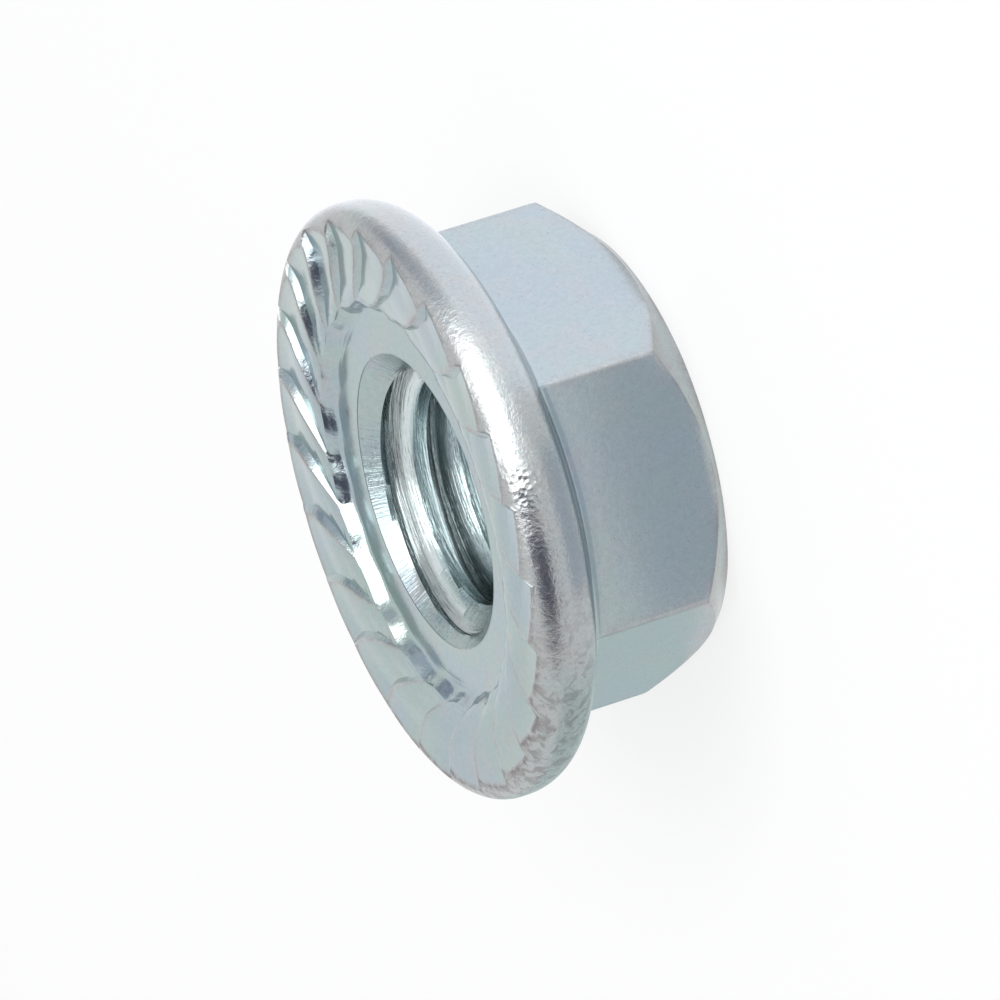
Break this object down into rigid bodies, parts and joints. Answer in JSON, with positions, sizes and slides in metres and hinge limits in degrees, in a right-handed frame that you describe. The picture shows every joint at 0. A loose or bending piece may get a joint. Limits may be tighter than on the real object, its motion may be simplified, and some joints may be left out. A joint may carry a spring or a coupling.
{
  "type": "serrated hex flange nut",
  "caption": "One-piece hex nut with a round flange whose bearing face has swirled saw-tooth serrations; threaded hole countersunk at both ends.",
  "frame": {"origin": "centre of the hex end face, on the thread axis", "axes": "+Z along the thread axis, out of the serrated bearing face; +X is 16.3 degrees clockwise, seen from +Z, of a hexagon corner"},
  "size_m": [0.0172, 0.0172, 0.007],
  "materials": {
    "zinc_plated_steel": "bright blue-white zinc plating over forged carbon steel, lightly worn at the edges"
  },
  "bodies": {
    "root": {"flange_nut": "zinc_plated_steel"}
  },
  "joints": []
}
